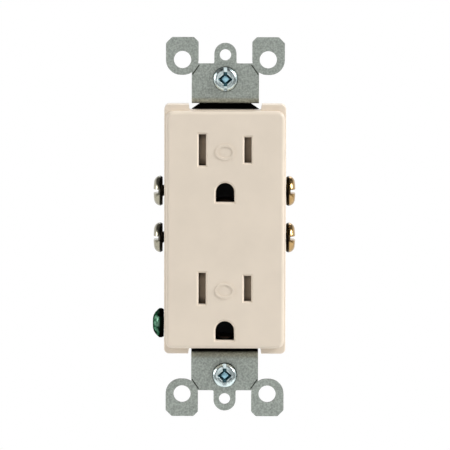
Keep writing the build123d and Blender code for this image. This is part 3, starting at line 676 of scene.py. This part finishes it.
def terminal_screw(node, side, hexagonal=False):
    """Slotted terminal screw that lies along X, with its head outward."""
    low, high, centre = screw_box(node)
    top_x = high.x if side > 0 else low.x
    length = high.x - low.x
    head_r = (high.z - low.z) / 2
    head_thick = HEX_THICK if hexagonal else TERMINAL_THICK
    if hexagonal:
        profile = [(AXIS_R, 0.0), (1.3 * MM, 0.04 * MM), (2.3 * MM, 0.28 * MM), (3.1 * MM, 0.78 * MM),
                   (3.7 * MM, 1.35 * MM), (head_r, 1.9 * MM)]
    else:
        dome_start = head_r - TERMINAL_DOME_R
        profile = [(AXIS_R, 0.0), (dome_start * 0.6, TERMINAL_CROWN * 0.45)]
        profile += arc((dome_start, TERMINAL_DOME_R + TERMINAL_CROWN), TERMINAL_DOME_R, -84, 0, 14)
    # The rim turns in under the head to a collar and the shank
    profile += [(head_r, head_thick - 0.55 * MM), (head_r - 0.08 * MM, head_thick - 0.42 * MM),
                (head_r - 0.34 * MM, head_thick), (THREAD_CREST_R, head_thick),
                (1.4 * MM, head_thick + 0.3 * MM)]
    head = spun(f"{node}_piece", profile)
    if hexagonal:
        ring = [math.radians(60 * step + HEX_TURN) for step in range(6)]
        outline = [(head_r * math.cos(turn), head_r * math.sin(turn)) for turn in ring]
        join(head, prism("hexagon", outline, outline, -CUT_ABOVE, head_thick + CUT_ABOVE), "INTERSECT")
    slotted(head, **TERMINAL_SLOT, turn=HEX_SLOT_TURN if hexagonal else 0)
    soften(head, TERMINAL_SOFT)
    join(head, threaded_shank(TERMINAL_CORE_R, head_thick, length, TERMINAL_THREAD), "UNION")
    # Local X, the slot's direction, lies along Y
    place_on_axis(head, (top_x, centre.y, centre.z), (-side, 0, 0))
    finish(head, node)


for end in ("top", "bottom"):
    mounting_screw(f"mounting_screw_{end}")
for outlet in ("upper", "lower"):
    terminal_screw(f"line_screw_{outlet}", 1)
    terminal_screw(f"neutral_screw_{outlet}", -1)
terminal_screw("ground_screw", -1, hexagonal=True)

# ------------------------------------------------------------------ shutter springs

SPRING_COILS = 9
SPRING_WIRE = 0.28 * MM
SPRING_CLOSED = 0.8              # turns at each end that lie against the next
SPRING_STEPS = 26
WIRE_SIDES = 10


def coil_spring(node):
    """A wire coil along X, its end turns closed."""
    low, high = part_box(node)
    mid_y = (low[1] + high[1]) / 2
    mid_z = (low[2] + high[2]) / 2
    coil_r = (high[2] - low[2] - SPRING_WIRE) / 2
    wire_r = SPRING_WIRE / 2
    run = high[0] - low[0] - SPRING_WIRE
    vertices = []
    count = SPRING_COILS * SPRING_STEPS
    for step in range(count + 1):
        angle = math.tau * step / SPRING_STEPS
        turns = step / SPRING_STEPS
        share = limited((turns - SPRING_CLOSED) / (SPRING_COILS - 2 * SPRING_CLOSED), 0, 1)
        closed = SPRING_WIRE * (min(turns, SPRING_CLOSED) + max(turns - SPRING_COILS + SPRING_CLOSED, 0))
        x = low[0] + wire_r + closed + share * (run - 2 * SPRING_CLOSED * SPRING_WIRE)
        for side in range(WIRE_SIDES):
            around = math.tau * side / WIRE_SIDES
            radius = coil_r + wire_r * math.cos(around)
            vertices.append((x + wire_r * math.sin(around), mid_y + radius * math.cos(angle),
                             mid_z + radius * math.sin(angle)))
    spring = piece_from(f"{node}_piece", vertices, tube_faces(count + 1, WIRE_SIDES))
    finish(spring, node)
    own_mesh(spring)


for outlet in ("upper", "lower"):
    coil_spring(f"shutter_spring_{outlet}")

# ------------------------------------------------------------------ camera and studio

CAMERA_DISTANCE = 1.0
CAMERA_ELEVATION = math.radians(5.3)
CAMERA_LENS = 285.4
CAMERA_ROLL = math.radians(0.152)
TARGET = Vector((0.0, -1.1 * MM, 0.72 * MM))

camera_data = bpy.data.cameras.new("camera")
camera_data.lens = CAMERA_LENS
camera_data.sensor_width = 36
camera_data.clip_start = 0.05
camera_data.clip_end = 20
camera = bpy.data.objects.new("camera", camera_data)
scene.collection.objects.link(camera)
away = Vector((0, -math.cos(CAMERA_ELEVATION), math.sin(CAMERA_ELEVATION)))
camera.location = TARGET + away * CAMERA_DISTANCE
aim = (-away).to_track_quat("-Z", "Y") @ Quaternion((0, 0, 1), CAMERA_ROLL)
camera.rotation_euler = aim.to_euler()
scene.camera = camera

scene.view_settings.view_transform = "Standard"

# The white sweep behind the outlet shows in reflections, and so does the dark above it: strengths in
# front and behind, and the share left from the horizon to overhead
SWEEP_Y = (-0.3, 0.15)
SWEEP_STRENGTH = (0.2, 1.0)
DARK_Z = (0.35, 0.6)
DARK_SHARE = (1.0, 0.12)
# Soft light from above falls on everything: strengths from the horizon to overhead
CEILING_Z = (0.0, 0.9)
CEILING_STRENGTH = (0.18, 0.68)

world = bpy.data.worlds.new("studio")
scene.world = world
world.use_nodes = True
sky = world.node_tree
ceiling = sky.nodes["Background"]
white = sky.nodes.new("ShaderNodeBackground")
sweep = sky.nodes.new("ShaderNodeBackground")
for shader in (ceiling, white, sweep):
    shader.inputs["Color"].default_value = (1, 1, 1, 1)
white.inputs["Strength"].default_value = 1
direction = sky.nodes.new("ShaderNodeTexCoord")
split = sky.nodes.new("ShaderNodeSeparateXYZ")
sky.links.new(direction.outputs["Generated"], split.inputs[0])
path = sky.nodes.new("ShaderNodeLightPath")


def changing(axis, places, strengths):
    """A strength that goes from one value to another along an axis of the view into the world."""
    change = sky.nodes.new("ShaderNodeMapRange")
    change.inputs["From Min"].default_value = places[0]
    change.inputs["From Max"].default_value = places[1]
    change.inputs["To Min"].default_value = strengths[0]
    change.inputs["To Max"].default_value = strengths[1]
    sky.links.new(split.outputs[axis], change.inputs["Value"])
    return change.outputs["Result"]


darkened = sky.nodes.new("ShaderNodeMath")
darkened.operation = "MULTIPLY"
sky.links.new(changing("Y", SWEEP_Y, SWEEP_STRENGTH), darkened.inputs[0])
sky.links.new(changing("Z", DARK_Z, DARK_SHARE), darkened.inputs[1])
sky.links.new(darkened.outputs[0], sweep.inputs["Strength"])
sky.links.new(changing("Z", CEILING_Z, CEILING_STRENGTH), ceiling.inputs["Strength"])


def shown_to(rays, shader, other):
    """A world shader for one kind of ray, and another for the rest."""
    blend = sky.nodes.new("ShaderNodeMixShader")
    sky.links.new(path.outputs[rays], blend.inputs["Fac"])
    sky.links.new(other, blend.inputs[1])
    sky.links.new(shader, blend.inputs[2])
    return blend.outputs["Shader"]


reflected = shown_to("Is Glossy Ray", sweep.outputs["Background"], ceiling.outputs["Background"])
seen = shown_to("Is Camera Ray", white.outputs["Background"], reflected)
sky.links.new(seen, sky.nodes["World Output"].inputs["Surface"])


def softbox(name, place, width, height, power):
    """A rectangular area light that faces the outlet."""
    data = bpy.data.lights.new(name, "AREA")
    data.shape = "RECTANGLE"
    data.size = width
    data.size_y = height
    data.energy = power
    lamp = bpy.data.objects.new(name, data)
    lamp.location = place
    lamp.rotation_euler = (-Vector(place)).to_track_quat("-Z", "Y").to_euler()
    scene.collection.objects.link(lamp)


softbox("key_light", (0.78, -0.3, 0.5), 0.45, 0.45, 9.2)
softbox("front_light", (-0.1, -1.24, 0.06), 0.7, 0.7, 1.5)
softbox("left_light", (-0.95, -0.25, 0.25), 0.45, 0.5, 3.8)
softbox("back_light", (0.1, 0.9, 0.7), 0.6, 0.5, 2.5)

# The outlet belongs in a wall, so the floor is well below it
FLOOR_DROP = 0.25
FLOOR_Z = cad_box[0][2] - FLOOR_DROP
FLOOR_R = 0.6
FLOOR_SIDES = 96
floor_mesh = bpy.data.meshes.new("floor")
floor_turns = [math.tau * step / FLOOR_SIDES for step in range(FLOOR_SIDES)]
floor_rim = [(FLOOR_R * math.cos(turn), FLOOR_R * math.sin(turn), FLOOR_Z) for turn in floor_turns]
floor_mesh.from_pydata(floor_rim, [], [tuple(range(FLOOR_SIDES))])
floor = bpy.data.objects.new("floor", floor_mesh)
scene.collection.objects.link(floor)
floor_paint = Surface("floor_paint", specular=0.2)
floor_tint = floor_paint.noise(40 * MM)
floor_paint.colour(floor_paint.ramp(floor_tint, [(0.3, srgb(246, 246, 245)), (0.7, srgb(250, 250, 249))]))
floor_paint.shader.inputs["Roughness"].default_value = 0.8
floor_mesh.materials.append(floor_paint.material)
